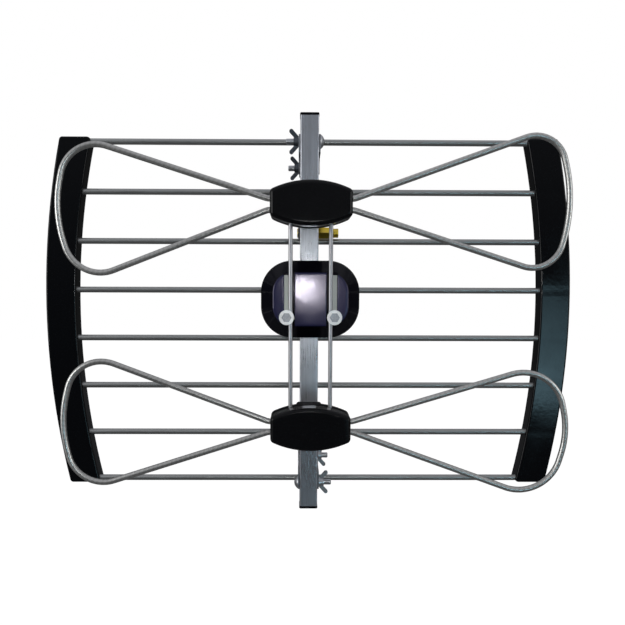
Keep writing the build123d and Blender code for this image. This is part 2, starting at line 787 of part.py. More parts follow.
def wing_nut(ear, y, z):
    """Wing nut on the left jaw's ear: a tapered hub with two straight wings."""
    bottom = (Align.CENTER, Align.CENTER, Align.MIN)
    hub = Cone(wing_hub_base / 2, wing_hub_top / 2, wing_hub_height, align=bottom)
    tip = Pos(wing_span / 2 - wing_tip_radius, wing_rise - wing_tip_radius) * Circle(wing_tip_radius)
    root = Pos(wing_root_x, wing_root_rise) * Circle(wing_root_radius)
    wing = make_hull(tip.edges() + root.edges())
    wings = wing + mirror(wing, about=Plane.YZ)
    nut = hub + extrude(Plane.XZ * wings, wing_thickness / 2, both=True)
    nut -= Cylinder(nut_bore / 2, 4 * wing_hub_height)
    return Pos(-(ear + touch_gap), y, z) * Rot(0, -90, 0) * nut


def on_boom(shape, end):
    """Move a piece that was made for the boom's upper end. The lower end's is turned over."""
    middle = Pos(0, 0, boom_middle)
    return middle * shape if end > 0 else middle * Rot(0, 180, 0) * shape


def placed(shape, bay):
    """Move a bay's piece to its height. The lower bay's pieces are turned over."""
    return Pos(0, 0, bay_height) * shape if bay > 0 else Pos(0, 0, -bay_height) * Rot(0, 180, 0) * shape


def write(name, shape):
    solids = shape if isinstance(shape, list) else [shape]
    group = Compound(children=solids) if len(solids) > 1 else solids[0]
    group.label = name
    export_step(group, f"parts/{name}.step")


def main():
    os.makedirs("parts", exist_ok=True)
    write("boom_tube", boom_tube())
    cap = boom_cap()
    write("boom_cap_top", on_boom(cap, 1))
    write("boom_cap_bottom", on_boom(cap, -1))
    for number, z in enumerate(rod_heights, start=1):
        write(f"reflector_rod_{number}", reflector_rod(z))
    rail = side_rail()
    write("side_rail_right", rail)
    write("side_rail_left", mirrored(rail))

    base, cover, clip = insulator_base(), insulator_cover(), element_clip()
    for bay_name, bay in (("upper", 1), ("lower", -1)):
        write(f"insulator_base_{bay_name}", placed(base, bay))
        write(f"insulator_cover_{bay_name}", placed(cover, bay))
        write(f"element_clip_{bay_name}_right", Pos(0, 0, bay * bay_height) * clip)
        write(f"element_clip_{bay_name}_left", Pos(0, 0, bay * bay_height) * mirrored(clip))
    for name, (side, bay, slide, lift) in loop_set.items():
        write(f"bowtie_loop_{name}", bowtie_loop(side, bay, slide, lift))
    write("phasing_rod_right", phasing_rod())
    write("phasing_rod_left", mirrored(phasing_rod()))
    write("element_clip_screws", element_clip_screws())
    write("stem_screws", stem_screws())

    write("balun_base", balun_base())
    write("balun_cover", balun_cover())
    write("balun_board", balun_board())
    write("balun_core", balun_core())
    write("board_screws", board_screws())
    write("balun_cover_screws", balun_cover_screws())
    write("terminal_post_right", terminal_post())
    write("terminal_post_left", mirrored(terminal_post()))
    write("terminal_strap_right", terminal_strap())
    write("terminal_strap_left", mirrored(terminal_strap()))
    write("terminal_washers", terminal_washers())
    write("terminal_screw_right", terminal_screw())
    write("terminal_screw_left", mirrored(terminal_screw()))
    write("connector_body", connector_body())
    write("connector_nut", connector_nut())

    head_jaw = clamp_jaw(jaw_hook_angle, True)
    nut_jaw = mirrored(clamp_jaw(jaw_open_angle, False))
    for clamp, end in (("upper", 1), ("lower", -1)):
        head_side, nut_side = ("right", "left") if end > 0 else ("left", "right")
        write(f"clamp_jaw_{clamp}_{head_side}", on_boom(head_jaw, end))
        write(f"clamp_jaw_{clamp}_{nut_side}", on_boom(nut_jaw, end))
        front = carriage_bolt(jaw_outer, front_bolt_length, front_bolt_y, front_bolt_z)
        rear = carriage_bolt(hook_ear, rear_bolt_length, rear_bolt_y, rear_bolt_z)
        write(f"clamp_bolt_{clamp}_front", on_boom(front, end))
        write(f"clamp_bolt_{clamp}_rear", on_boom(rear, end))
        write(f"wing_nut_{clamp}_front", on_boom(wing_nut(jaw_outer, front_bolt_y, front_bolt_z), end))
        write(f"wing_nut_{clamp}_rear", on_boom(wing_nut(open_ear, rear_bolt_y, rear_bolt_z), end))


main()
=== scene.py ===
from math import cos, pi, radians, sin

import bpy
from mathutils import Matrix, Vector


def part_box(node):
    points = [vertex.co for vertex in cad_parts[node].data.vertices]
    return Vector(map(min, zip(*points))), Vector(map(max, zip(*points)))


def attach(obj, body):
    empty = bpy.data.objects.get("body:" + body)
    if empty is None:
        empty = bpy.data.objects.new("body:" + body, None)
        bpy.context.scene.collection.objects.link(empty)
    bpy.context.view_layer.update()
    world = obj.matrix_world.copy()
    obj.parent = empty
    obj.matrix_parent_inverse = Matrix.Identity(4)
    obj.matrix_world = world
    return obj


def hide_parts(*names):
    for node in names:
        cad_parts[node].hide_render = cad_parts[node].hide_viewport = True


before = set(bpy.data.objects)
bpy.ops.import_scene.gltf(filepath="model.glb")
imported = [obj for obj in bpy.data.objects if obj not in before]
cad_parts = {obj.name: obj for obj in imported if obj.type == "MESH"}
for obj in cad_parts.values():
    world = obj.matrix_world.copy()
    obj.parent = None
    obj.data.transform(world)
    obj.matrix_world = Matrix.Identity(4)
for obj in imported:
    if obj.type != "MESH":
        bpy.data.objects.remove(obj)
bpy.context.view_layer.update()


# Boom: a length of square aluminium tube, mill finished and brushed lengthwise, with drilled
# holes that the reflector rods, the clamp bolts and the connector pass through.

def add(tree, kind, **settings):
    """A node in a tree, with its settings, or its sockets where no setting has the name."""
    node = tree.nodes.new(kind)
    for name, value in settings.items():
        setattr(node, name, value)
    return node


def wire(tree, source, node, socket):
    """Joins an output to a node's input, or sets the input where the source is a plain value."""
    if isinstance(source, bpy.types.NodeSocket):
        tree.links.new(source, node.inputs[socket])
    else:
        node.inputs[socket].default_value = source


def maths(tree, operation, first, second=0.0, clamp=False):
    node = add(tree, "ShaderNodeMath", operation=operation, use_clamp=clamp)
    wire(tree, first, node, 0)
    wire(tree, second, node, 1)
    return node.outputs[0]


def scaled(tree, vector, factors):
    node = add(tree, "ShaderNodeVectorMath", operation="MULTIPLY")
    wire(tree, vector, node, 0)
    wire(tree, factors, node, 1)
    return node.outputs[0]


def noise(tree, vector, scale, detail=3.0, roughness=0.55):
    node = add(tree, "ShaderNodeTexNoise")
    wire(tree, vector, node, "Vector")
    wire(tree, scale, node, "Scale")
    wire(tree, detail, node, "Detail")
    wire(tree, roughness, node, "Roughness")
    return node.outputs["Fac"]


def span(tree, value, low, high, out_low=0.0, out_high=1.0):
    """Maps a range of a value onto another range, and holds it at the ends."""
    node = add(tree, "ShaderNodeMapRange")
    for socket, number in enumerate((value, low, high, out_low, out_high)):
        wire(tree, number, node, socket)
    return node.outputs[0]


def blended(tree, factor, first, second):
    node = add(tree, "ShaderNodeMix", data_type="RGBA")
    wire(tree, factor, node, 0)
    wire(tree, first, node, 6)
    wire(tree, second, node, 7)
    return node.outputs[2]


def effect(name, inputs, outputs):
    """An empty shader group with named sockets. Returns the tree and its two end nodes."""
    tree = bpy.data.node_groups.new(name, "ShaderNodeTree")
    for label, kind, default in inputs:
        socket = tree.interface.new_socket(name=label, in_out="INPUT", socket_type=kind)
        if default is not None:
            socket.default_value = default
    for label in outputs:
        tree.interface.new_socket(name=label, in_out="OUTPUT", socket_type="NodeSocketFloat")
    return tree, tree.nodes.new("NodeGroupInput"), tree.nodes.new("NodeGroupOutput")


def placed(tree, group, **values):
    """A shader group in a material, with its own values."""
    node = add(tree, "ShaderNodeGroup", node_tree=group)
    for socket, value in values.items():
        wire(tree, value, node, socket.replace("_", " "))
    return node.outputs


def drawn_grain():
    """Fine lines that run along a drawn or brushed metal, with slow changes of shade."""
    tree, start, end = effect("drawn grain", [
        ("Place", "NodeSocketVector", None),
        ("Stretch", "NodeSocketVector", (1.0, 1.0, 1.0)),
        ("Lines per metre", "NodeSocketFloat", 3000.0),
    ], ["Lines", "Shade"])
    lengthwise = scaled(tree, start.outputs["Place"], start.outputs["Stretch"])
    fine = noise(tree, lengthwise, start.outputs["Lines per metre"], 4.0, 0.65)
    broad = maths(tree, "MULTIPLY", start.outputs["Lines per metre"], 0.13)
    slow = noise(tree, lengthwise, broad, 2.0, 0.5)
    wire(tree, span(tree, fine, 0.3, 0.7), end, "Lines")
    wire(tree, span(tree, slow, 0.3, 0.7), end, "Shade")
    return tree


def worn_edges():
    """A mask that is 1 along sharp edges, broken up as handling wears them."""
    tree, start, end = effect("worn edges", [
        ("Place", "NodeSocketVector", None),
        ("Width", "NodeSocketFloat", 0.0004),
        ("Spots per metre", "NodeSocketFloat", 400.0),
    ], ["Wear"])
    rounded = add(tree, "ShaderNodeBevel", samples=4)
    wire(tree, start.outputs["Width"], rounded, "Radius")
    surface = add(tree, "ShaderNodeNewGeometry")
    turn = add(tree, "ShaderNodeVectorMath", operation="DOT_PRODUCT")
    wire(tree, rounded.outputs["Normal"], turn, 0)
    wire(tree, surface.outputs["Normal"], turn, 1)
    edge = span(tree, turn.outputs["Value"], 0.995, 0.88)
    spots = noise(tree, start.outputs["Place"], start.outputs["Spots per metre"], 4.0, 0.7)
    wire(tree, maths(tree, "MULTIPLY", edge, span(tree, spots, 0.38, 0.62)), end, "Wear")
    return tree


def settled_dust():
    """Faint specks and cloudy patches, as on any part that has been handled and stored."""
    tree, start, end = effect("settled dust", [("Place", "NodeSocketVector", None)], ["Dust", "Clouds"])
    specks = noise(tree, start.outputs["Place"], 2600.0, 2.0, 0.5)
    clouds = noise(tree, start.outputs["Place"], 22.0, 3.0, 0.55)
    wire(tree, span(tree, specks, 0.66, 0.74), end, "Dust")
    wire(tree, span(tree, clouds, 0.3, 0.7), end, "Clouds")
    return tree


DRAWN_GRAIN, WORN_EDGES, SETTLED_DUST = drawn_grain(), worn_edges(), settled_dust()


def finish_of(name, **sockets):
    """A material with its shader's plain values set, and the place on the object."""
    material = bpy.data.materials.new(name)
    material.use_nodes = True
    tree = material.node_tree
    shader = tree.nodes["Principled BSDF"]
    for socket, value in sockets.items():
        shader.inputs[socket.replace("_", " ")].default_value = value
    place = add(tree, "ShaderNodeTexCoord").outputs["Object"]
    return material, tree, shader, place


def relief(tree, shader, height, distance, strength=1.0):
    bump = add(tree, "ShaderNodeBump")
    wire(tree, height, bump, "Height")
    bump.inputs["Distance"].default_value = distance
    bump.inputs["Strength"].default_value = strength
    wire(tree, bump.outputs["Normal"], shader, "Normal")


def drawn_metal(name, dark, light, lines, roughness, depth, stretch=(1.0, 1.0, 1.0)):
    """Bare drawn metal: streaks along it, dull patches, and edges rubbed bright."""
    material, tree, shader, place = finish_of(name, Metallic=1.0)
    grain = placed(tree, DRAWN_GRAIN, Place=place, Stretch=stretch, Lines_per_metre=lines)
    wear = placed(tree, WORN_EDGES, Place=place)["Wear"]
    dust = placed(tree, SETTLED_DUST, Place=place)
    shade = maths(tree, "ADD", maths(tree, "MULTIPLY", grain["Lines"], 0.45),
                  maths(tree, "MULTIPLY", grain["Shade"], 0.55))
    colour = blended(tree, shade, (*dark, 1), (*light, 1))
    colour = blended(tree, maths(tree, "MULTIPLY", wear, 0.5), colour, (0.86, 0.87, 0.88, 1))
    wire(tree, colour, shader, "Base Color")
    dull = maths(tree, "ADD", span(tree, grain["Lines"], 0.0, 1.0, roughness - 0.05, roughness + 0.05),
                 maths(tree, "MULTIPLY", dust["Clouds"], 0.08))
    wire(tree, maths(tree, "SUBTRACT", dull, maths(tree, "MULTIPLY", wear, 0.1)), shader, "Roughness")
    relief(tree, shader, grain["Lines"], depth)
    return material


def dress(material, *names):
    """Gives CAD nodes their finish."""
    for name in names:
        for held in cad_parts[name].material_slots:
            held.material = material


BOOM_METAL = drawn_metal("brushed_boom", dark=(0.40, 0.42, 0.45), light=(0.58, 0.60, 0.65),
                         lines=2600.0, roughness=0.27, depth=0.00002, stretch=(1.0, 1.0, 0.012))
dress(BOOM_METAL, "boom_tube")


# Boom caps: black plastic plugs pressed into both ends of the tube, moulded with a fine
# matt skin.

def moulded(name, body, rim, roughness, skin_per_metre, skin_depth, specular=0.5):
    """Moulded plastic: a fine skin, cloudy gloss, dust, and edges scuffed a little paler."""
    material, tree, shader, place = finish_of(name, Specular_IOR_Level=specular)
    wear = placed(tree, WORN_EDGES, Place=place, Width=0.0005, Spots_per_metre=260.0)["Wear"]
    dust = placed(tree, SETTLED_DUST, Place=place)
    colour = blended(tree, maths(tree, "MULTIPLY", wear, 0.5), (*body, 1), (*rim, 1))
    colour = blended(tree, maths(tree, "MULTIPLY", dust["Dust"], 0.25), colour, (0.06, 0.06, 0.065, 1))
    wire(tree, colour, shader, "Base Color")
    dull = span(tree, dust["Clouds"], 0.0, 1.0, roughness - 0.04, roughness + 0.05)
    wire(tree, maths(tree, "ADD", dull, maths(tree, "MULTIPLY", dust["Dust"], 0.2)), shader, "Roughness")
    skin = noise(tree, place, skin_per_metre, 2.0, 0.5)
    relief(tree, shader, skin, skin_depth)
    return material


MATT_SKIN_IOR = 1.2
MATT_BLACK = moulded("matt_black_moulding", body=(0.004, 0.004, 0.005), rim=(0.02, 0.02, 0.022),
                     roughness=0.50, skin_per_metre=1800.0, skin_depth=0.00003, specular=0.12)
MATT_BLACK.node_tree.nodes["Principled BSDF"].inputs["IOR"].default_value = MATT_SKIN_IOR
dress(MATT_BLACK, "boom_cap_top", "boom_cap_bottom")


# Reflector rods: eight solid aluminium rods, drawn smooth and pushed through the boom. They
# shorten towards the top and the bottom because the side rails curve in.

MM = 0.001


def grower(name, inputs):
    """An empty geometry tree with named inputs. Returns the tree and its two end nodes."""
    tree = bpy.data.node_groups.new(name, "GeometryNodeTree")
    tree.interface.new_socket(name="Geometry", in_out="INPUT", socket_type="NodeSocketGeometry")
    for label, kind in inputs:
        tree.interface.new_socket(name=label, in_out="INPUT", socket_type=kind)
    tree.interface.new_socket(name="Finish", in_out="INPUT", socket_type="NodeSocketMaterial")
    tree.interface.new_socket(name="Geometry", in_out="OUTPUT", socket_type="NodeSocketGeometry")
    return tree, tree.nodes.new("NodeGroupInput"), tree.nodes.new("NodeGroupOutput")


def closing(tree, geometry, start, end):
    """The tree's last nodes: smooth real geometry, in the finish that was asked for."""
    smooth = add(tree, "GeometryNodeSetShadeSmooth")
    real = add(tree, "GeometryNodeRealizeInstances")
    painted = add(tree, "GeometryNodeSetMaterial")
    wire(tree, geometry, smooth, "Geometry")
    wire(tree, smooth.outputs[0], real, "Geometry")
    wire(tree, real.outputs[0], painted, "Geometry")
    wire(tree, start.outputs["Finish"], painted, "Material")
    wire(tree, painted.outputs[0], end, "Geometry")


def grown(tree, name, seed_mesh=None, **values):
    """Runs a geometry tree once and keeps the result as a plain mesh."""
    piece = bpy.data.objects.new(name, seed_mesh or bpy.data.meshes.new(name))
    bpy.context.scene.collection.objects.link(piece)
    modifier = piece.modifiers.new("grow", "NODES")
    modifier.node_group = tree
    for socket in tree.interface.items_tree:
        if socket.in_out == "INPUT" and socket.name.replace(" ", "_") in values:
            modifier[socket.identifier] = values[socket.name.replace(" ", "_")]
    bpy.context.view_layer.update()
    result = bpy.data.meshes.new_from_object(piece.evaluated_get(bpy.context.evaluated_depsgraph_get()))
    piece.modifiers.remove(modifier)
    piece.data = result
    result.name = name
    return piece


def stands_for(piece, slot, *nodes):
    """Fixes a new piece to the part, in place of the CAD nodes that are named."""
    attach(piece, "root")
    if nodes:
        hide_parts(*nodes)


def seed_path(name, points, bends):
    """A chain of edges through the given points, each with the radius that it is bent to."""
    mesh = bpy.data.meshes.new(name)
    mesh.from_pydata(points, [(spot, spot + 1) for spot in range(len(points) - 1)], [])
    mesh.attributes.new("bend", "FLOAT", "POINT").data.foreach_set("value", bends)
    return mesh


def bent_bar():
    """Round bar along a path: rounded bends, and its own length and turn stored for its finish."""
    tree, start, end = grower("bent bar", [
        ("Diameter", "NodeSocketFloat"), ("Sides", "NodeSocketInt"), ("Steps per bend", "NodeSocketInt"),
    ])
    take = start.outputs
    line = add(tree, "GeometryNodeMeshToCurve")
    wire(tree, take["Geometry"], line, "Mesh")
    bend = add(tree, "GeometryNodeInputNamedAttribute", data_type="FLOAT")
    wire(tree, "bend", bend, "Name")
    rounded = add(tree, "GeometryNodeFilletCurve", mode="POLY")
    wire(tree, line.outputs[0], rounded, "Curve")
    wire(tree, take["Steps per bend"], rounded, "Count")
    wire(tree, bend.outputs[0], rounded, "Radius")

    place = add(tree, "GeometryNodeSplineParameter")
    along = add(tree, "GeometryNodeStoreNamedAttribute", data_type="FLOAT", domain="POINT")
    wire(tree, rounded.outputs[0], along, "Geometry")
    wire(tree, "along", along, "Name")
    wire(tree, place.outputs["Length"], along, "Value")
    section = add(tree, "GeometryNodeCurvePrimitiveCircle")
    wire(tree, take["Sides"], section, "Resolution")
    wire(tree, maths(tree, "MULTIPLY", take["Diameter"], 0.5), section, "Radius")
    around = add(tree, "GeometryNodeStoreNamedAttribute", data_type="FLOAT", domain="POINT")
    turn = add(tree, "GeometryNodeSplineParameter")
    wire(tree, section.outputs[0], around, "Geometry")
    wire(tree, "around", around, "Name")
    wire(tree, turn.outputs["Factor"], around, "Value")
    bar = add(tree, "GeometryNodeCurveToMesh")
    wire(tree, along.outputs[0], bar, "Curve")
    wire(tree, around.outputs[0], bar, "Profile Curve")
    wire(tree, True, bar, "Fill Caps")
    closing(tree, bar.outputs[0], start, end)
    return tree


BENT_BAR = bent_bar()


ROLL_PITCH = 4.6 * MM
GRAIN_RADIUS = 2.4 * MM
GRAIN_SHARE_ALONG = 0.02


def stroked_metal(name, dark, light, lines, roughness, depth, marks=0.0):
    """Drawn bar that carries its own length: die lines along it, and faint marks of the rolls."""
    material, tree, shader, place = finish_of(name, Metallic=1.0)
    along = add(tree, "ShaderNodeAttribute", attribute_name="along").outputs["Fac"]
    turned = add(tree, "ShaderNodeAttribute", attribute_name="around").outputs["Fac"]
    spot = add(tree, "ShaderNodeCombineXYZ")
    angle = maths(tree, "MULTIPLY", turned, 2 * pi)
    wire(tree, maths(tree, "MULTIPLY", maths(tree, "COSINE", angle), GRAIN_RADIUS), spot, "X")
    wire(tree, maths(tree, "MULTIPLY", maths(tree, "SINE", angle), GRAIN_RADIUS), spot, "Y")
    wire(tree, maths(tree, "MULTIPLY", along, GRAIN_SHARE_ALONG), spot, "Z")
    grain = placed(tree, DRAWN_GRAIN, Place=spot.outputs[0], Lines_per_metre=lines)
    dust = placed(tree, SETTLED_DUST, Place=place)
    rolls = maths(tree, "ADD", maths(tree, "DIVIDE", along, ROLL_PITCH), turned)
    rolls = span(tree, maths(tree, "SINE", maths(tree, "MULTIPLY", rolls, 2 * pi)), -0.2, 0.9)
    rolls = maths(tree, "MULTIPLY", rolls, marks)
    shade = maths(tree, "ADD", maths(tree, "MULTIPLY", grain["Lines"], 0.5),
                  maths(tree, "MULTIPLY", grain["Shade"], 0.5))
    shade = maths(tree, "SUBTRACT", shade, rolls, clamp=True)
    wire(tree, blended(tree, shade, (*dark, 1), (*light, 1)), shader, "Base Color")
    dull = span(tree, grain["Lines"], 0.0, 1.0, roughness - 0.05, roughness + 0.05)
    wire(tree, maths(tree, "ADD", dull, maths(tree, "MULTIPLY", dust["Clouds"], 0.08)), shader, "Roughness")
    relief(tree, shader, maths(tree, "ADD", grain["Lines"], maths(tree, "MULTIPLY", rolls, 3.0)), depth)
    return material


def middle(node):
    low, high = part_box(node)
    return (low + high) / 2


ROD_COUNT = 8
ROD_PLANE = middle("reflector_rod_1").y
ROD_DIAMETER = 6.2 * MM
ROD_METAL = stroked_metal("drawn_rod", dark=(0.30, 0.31, 0.305), light=(0.46, 0.47, 0.46),
                          lines=2600.0, roughness=0.32, depth=0.00001)
for number in range(1, ROD_COUNT + 1):
    node = f"reflector_rod_{number}"
    low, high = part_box(node)
    level = middle(node).z
    ends = [(low.x, ROD_PLANE, level), (high.x, ROD_PLANE, level)]
    rod = grown(BENT_BAR, f"drawn_rod_{number}", seed_path(f"rod_path_{number}", ends, [0.0, 0.0]),
                Diameter=ROD_DIAMETER, Sides=32, Steps_per_bend=1, Finish=ROD_METAL)
    stands_for(rod, "rod_aluminium", node)


# Side rails: two curved channels, injection moulded in glossy black plastic and open at the
# back. Every rod end is pushed into a ribbed socket, which leaves a faint sink mark outside.

GLOSS = dict(rim=(0.009, 0.009, 0.010), skin_per_metre=240.0, skin_depth=0.00002, specular=0.17)
ROD_PITCH = (middle("reflector_rod_1").z - middle(f"reflector_rod_{ROD_COUNT}").z) / (ROD_COUNT - 1)


def sink_marks(material):
    """Shallow dips across the rail's face where the ribs behind it hold a rod end."""
    tree = material.node_tree
    shader, bump = tree.nodes["Principled BSDF"], tree.nodes["Bump"]
    place = add(tree, "ShaderNodeTexCoord").outputs["Object"]
    axes = add(tree, "ShaderNodeSeparateXYZ")
    wire(tree, place, axes, 0)
    height = maths(tree, "SUBTRACT", axes.outputs["Z"], middle("reflector_rod_8").z)
    steps = maths(tree, "DIVIDE", height, ROD_PITCH)
    ragged = maths(tree, "MULTIPLY", noise(tree, place, 60.0), 0.03)
    nearest_rod = maths(tree, "ROUND", maths(tree, "ADD", steps, ragged))
    off = maths(tree, "ABSOLUTE", maths(tree, "SUBTRACT", steps, nearest_rod))
    dip = add(tree, "ShaderNodeBump")
    wire(tree, span(tree, off, 0.02, 0.11), dip, "Height")
    dip.inputs["Distance"].default_value = 0.000025
    wire(tree, bump.outputs["Normal"], dip, "Normal")
    wire(tree, dip.outputs["Normal"], shader, "Normal")
    return material


RAIL_BLACK = sink_marks(moulded("rail_moulding", body=(0.002, 0.0025, 0.0035), roughness=0.09, **GLOSS))
dress(RAIL_BLACK, "side_rail_left", "side_rail_right")


# Insulator housings: each is a black moulded base on a hollow stem, screwed to the boom from
# inside, with a moulded cover that snaps over the base's lip. Both shells are copies of the
# solids, made a little lower about the middle of their bay.

SLIMMER = 0.92
GLOSSY_BLACK = moulded("insulator_moulding", body=(0.003, 0.0032, 0.004), roughness=0.16, **GLOSS)
for bay in ("upper", "lower"):
    for half, finish in (("cover", GLOSSY_BLACK), ("base", MATT_BLACK)):
        node = f"insulator_{half}_{bay}"
        shell = bpy.data.objects.new(f"slim_insulator_{half}_{bay}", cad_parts[node].data.copy())
        bpy.context.scene.collection.objects.link(shell)
        level = middle(f"insulator_cover_{bay}").z
        shell.data.transform(Matrix.Translation((0, 0, level)) @ Matrix.Diagonal((1, 1, SLIMMER, 1))
                             @ Matrix.Translation((0, 0, -level)))
        shell.data.materials.clear()
        shell.data.materials.append(finish)
        stands_for(shell, "black_moulding", node)


# Clip plates and their screws, plated steel, which press the wire ends onto the phasing
# rods inside the insulators. The stem screws hold the housings from inside the boom.

ZINC = drawn_metal("zinc_plated_steel", dark=(0.42, 0.43, 0.45), light=(0.60, 0.62, 0.64),
                   lines=900.0, roughness=0.30, depth=0.00001)
for bay in ("upper", "lower"):
    dress(ZINC, f"element_clip_{bay}_left", f"element_clip_{bay}_right")
dress(ZINC, "element_clip_screws", "stem_screws")


# Bow tie wires: each is one length of bare drawn aluminium wire, bent round formers into a
# long loop. Both ends run level through the insulator's side and lie under a clip plate.
# Each row of LOOPS is side, bay, slide outward, turn, corner radius and end radius.

WIRE_METAL = stroked_metal("drawn_wire", dark=(0.44, 0.44, 0.42), light=(0.62, 0.62, 0.60),
                           lines=2200.0, roughness=0.30, depth=0.00001, marks=0.35)
WIRE_DIAMETER = 5.6 * MM
WIRE_PLANE = middle("bowtie_loop_upper_left").y
BAY_HEIGHT = 103.0 * MM
LEG_END, LEG_BEND, LEG_GAP, LEG_BEND_RADIUS = 14.0 * MM, 39.5 * MM, 5.1 * MM, 14.0 * MM
CORNER = (223.6 * MM, 67.6 * MM)
NOSE = 240.5 * MM
LOOPS = {
    "upper_left": (-1, 1, -6.2 * MM, radians(-1.5), 33.0 * MM, 115.0 * MM),
    "upper_right": (1, 1, 0.5 * MM, radians(0.75), 28.0 * MM, 138.0 * MM),
    "lower_left": (-1, -1, -4.8 * MM, radians(1.2), 33.0 * MM, 115.0 * MM),
    "lower_right": (1, -1, 3.9 * MM, radians(-1.35), 39.0 * MM, 86.0 * MM),
}


def loop_points(side, bay, slide, turn):
    """The corners of one wire, slid outward and turned about the bay's middle as it was bent."""
    def swung(x, z):
        x = x + slide
        return x * cos(turn) - z * sin(turn), x * sin(turn) + z * cos(turn)

    corner_x, corner_z = CORNER
    flat = [(LEG_END, LEG_GAP), (LEG_BEND, LEG_GAP), swung(corner_x, corner_z), swung(NOSE, 0),
            swung(corner_x, -corner_z), (LEG_BEND, -LEG_GAP), (LEG_END, -LEG_GAP)]
    return [(side * x, WIRE_PLANE, bay * BAY_HEIGHT + z) for x, z in flat]


for name, (*bent, corner_radius, nose_radius) in LOOPS.items():
    bends = [0.0, LEG_BEND_RADIUS, corner_radius, nose_radius, corner_radius, LEG_BEND_RADIUS, 0.0]
    loop = grown(BENT_BAR, f"bent_wire_{name}", seed_path(f"wire_path_{name}", loop_points(*bent), bends),
                 Diameter=WIRE_DIAMETER, Sides=24, Steps_per_bend=36, Finish=WIRE_METAL)
    stands_for(loop, "wire_aluminium", f"bowtie_loop_{name}")


# Phasing rods: two straight drawn aluminium rods behind the wires, which join the bays and
# pass under the terminal washers on the balun housing.

PHASING_METAL = stroked_metal("drawn_phasing_rod", dark=(0.32, 0.32, 0.335), light=(0.46, 0.46, 0.475),
                              lines=2400.0, roughness=0.32, depth=0.00001)
PHASING_DIAMETER = 3.9 * MM
for side in ("left", "right"):
    node = f"phasing_rod_{side}"
    low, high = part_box(node)
    spot = middle(node)
    ends = [(spot.x, spot.y, low.z), (spot.x, spot.y, high.z)]
    rod = grown(BENT_BAR, f"drawn_phasing_{side}", seed_path(f"phasing_path_{side}", ends, [0.0, 0.0]),
                Diameter=PHASING_DIAMETER, Sides=24, Steps_per_bend=1, Finish=PHASING_METAL)
    stands_for(rod, "wire_aluminium", node)


# Balun housing: a bevelled cover moulded in glossy blue-black plastic, screwed from behind
# to a black base whose stem is screwed to the boom.

EDGE_ROUNDING = 1.0 * MM
# Where the painted shade on the bevelled border begins and where it is full, behind the face.
SHADED_BORDER_START, SHADED_BORDER_END = 0.2 * MM, 1.2 * MM


def balun_gloss():
    """Blue-black gloss on the raised face, and a duller border round it whose near-black colour is painted
    shade.
    """
    material = moulded("balun_gloss", body=(0.016, 0.017, 0.058), rim=(0.02, 0.02, 0.05),
                       roughness=0.12, skin_per_metre=95.0, skin_depth=0.00006)
    tree = material.node_tree
    shader = tree.nodes["Principled BSDF"]
    shader.inputs["Specular Tint"].default_value = (0.93, 0.87, 1.0, 1)
    axes = add(tree, "ShaderNodeSeparateXYZ")
    wire(tree, add(tree, "ShaderNodeTexCoord").outputs["Object"], axes, 0)
    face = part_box("balun_cover")[0].y
    shaded_border = span(tree, axes.outputs["Y"], face + SHADED_BORDER_START, face + SHADED_BORDER_END)
    inner = shader.inputs["Base Color"].links[0].from_socket
    # painted shade: the bevelled border of the same moulding is coloured near-black in place of the
    # blue-black
    wire(tree, blended(tree, shaded_border, inner, (0.003, 0.003, 0.006, 1)), shader, "Base Color")
    wire(tree, span(tree, shaded_border, 0.0, 1.0, 0.5, 0.05), shader, "Specular IOR Level")
    rounded = add(tree, "ShaderNodeBevel", samples=6)
    rounded.inputs["Radius"].default_value = EDGE_ROUNDING
    wire(tree, rounded.outputs["Normal"], tree.nodes["Bump"], "Normal")
    return material


dress(balun_gloss(), "balun_cover")
dress(MATT_BLACK, "balun_base")


# Balun board: green glass laminate that sits on four bosses inside the housing. It carries a
# ferrite core, and four small plated screws hold it down.

def laminate():
    material, tree, shader, place = finish_of("board_laminate", Roughness=0.35)
    weave = add(tree, "ShaderNodeTexBrick")
    wire(tree, place, weave, "Vector")
    wire(tree, 900.0, weave, "Scale")
    wire(tree, (0.020, 0.115, 0.050, 1), weave, "Color1")
    wire(tree, (0.026, 0.135, 0.060, 1), weave, "Color2")
    wire(tree, (0.014, 0.090, 0.040, 1), weave, "Mortar")
    wire(tree, weave.outputs["Color"], shader, "Base Color")
    relief(tree, shader, weave.outputs["Fac"], 0.00001)
    return material


dress(laminate(), "balun_board")
FERRITE = moulded("fired_ferrite", body=(0.030, 0.028, 0.027), rim=(0.09, 0.085, 0.08),
                  roughness=0.5, skin_per_metre=2400.0, skin_depth=0.00005)
dress(FERRITE, "balun_core")
dress(ZINC, "board_screws", "balun_cover_screws")


# Terminals: brass posts through the housing, flat plated straps on its face, and hexagon
# screws with large plated washers that clamp the phasing rods.

BRIGHT = drawn_metal("bright_plate", dark=(0.78, 0.78, 0.77), light=(0.92, 0.92, 0.91),
                     lines=1100.0, roughness=0.42, depth=0.00001)
STRAP = drawn_metal("tinned_strap", dark=(0.38, 0.39, 0.36), light=(0.58, 0.59, 0.55),
                    lines=1300.0, roughness=0.46, depth=0.00001, stretch=(1.0, 1.0, 0.05))
BRASS = drawn_metal("turned_brass", dark=(0.62, 0.42, 0.16), light=(0.78, 0.56, 0.24),
                    lines=1800.0, roughness=0.28, depth=0.00001, stretch=(1.0, 0.05, 1.0))
CLAMP_STEEL = drawn_metal("clamp_steel", dark=(0.22, 0.23, 0.25), light=(0.38, 0.39, 0.41),
                          lines=500.0, roughness=0.36, depth=0.00002)
dress(BRASS, "terminal_post_left", "terminal_post_right")
dress(STRAP, "terminal_strap_left", "terminal_strap_right")
dress(BRIGHT, "terminal_washers")
dress(CLAMP_STEEL, "terminal_screw_left", "terminal_screw_right")


# Coaxial connector: a turned and gold coloured body through the boom, with an open barrel to
# the right and a thin nut on the left.

